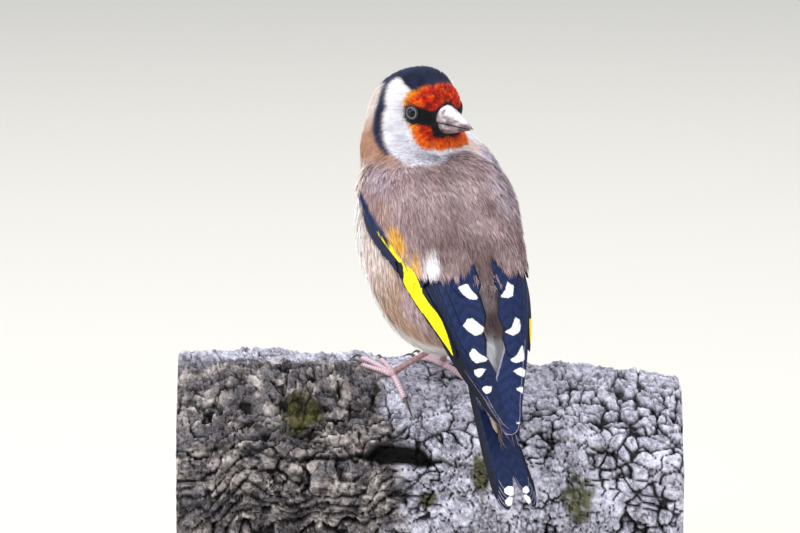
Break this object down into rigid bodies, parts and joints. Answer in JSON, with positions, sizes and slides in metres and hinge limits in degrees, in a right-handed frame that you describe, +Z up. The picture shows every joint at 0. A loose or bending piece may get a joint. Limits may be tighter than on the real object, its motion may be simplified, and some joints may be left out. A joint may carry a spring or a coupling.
{
  "type": "goldfinch on a perch",
  "caption": "Still goldfinch gripping a cut log and looking back over its shoulder, on a plain display stand.",
  "frame": {"origin": "centre of the stand base's underside", "axes": "+Z up, +X to the right of a viewer behind the bird, +Y away from that viewer"},
  "size_m": [0.124, 0.1, 0.1469],
  "materials": {
    "dark_feather": "satin",
    "pale_feather": "matte",
    "brown_feather": "matte",
    "eye": "gloss",
    "bill": "satin",
    "leg_scale": "satin",
    "claw": "satin",
    "bark": "rough",
    "base_wood": "satin",
    "rod_brass": "satin"
  },
  "bodies": {
    "root": {"head": "pale_feather", "eye_left": "eye", "eye_right": "eye", "neck": "brown_feather", "torso": "brown_feather", "bill_upper": "bill", "bill_lower": "bill", "tail": "dark_feather", "wing_right": "dark_feather", "wing_left": "dark_feather", "perch_log": "bark", "stand_base": "base_wood", "stand_rod_left": "rod_brass", "stand_rod_right": "rod_brass", "claw_left_inner": "claw", "claw_left_middle": "claw", "claw_left_outer": "claw", "claw_left_hind": "claw", "foot_left": "leg_scale", "leg_left": "leg_scale", "claw_right_inner": "claw", "claw_right_middle": "claw", "claw_right_outer": "claw", "claw_right_hind": "claw", "foot_right": "leg_scale", "leg_right": "leg_scale"}
  },
  "joints": []
}
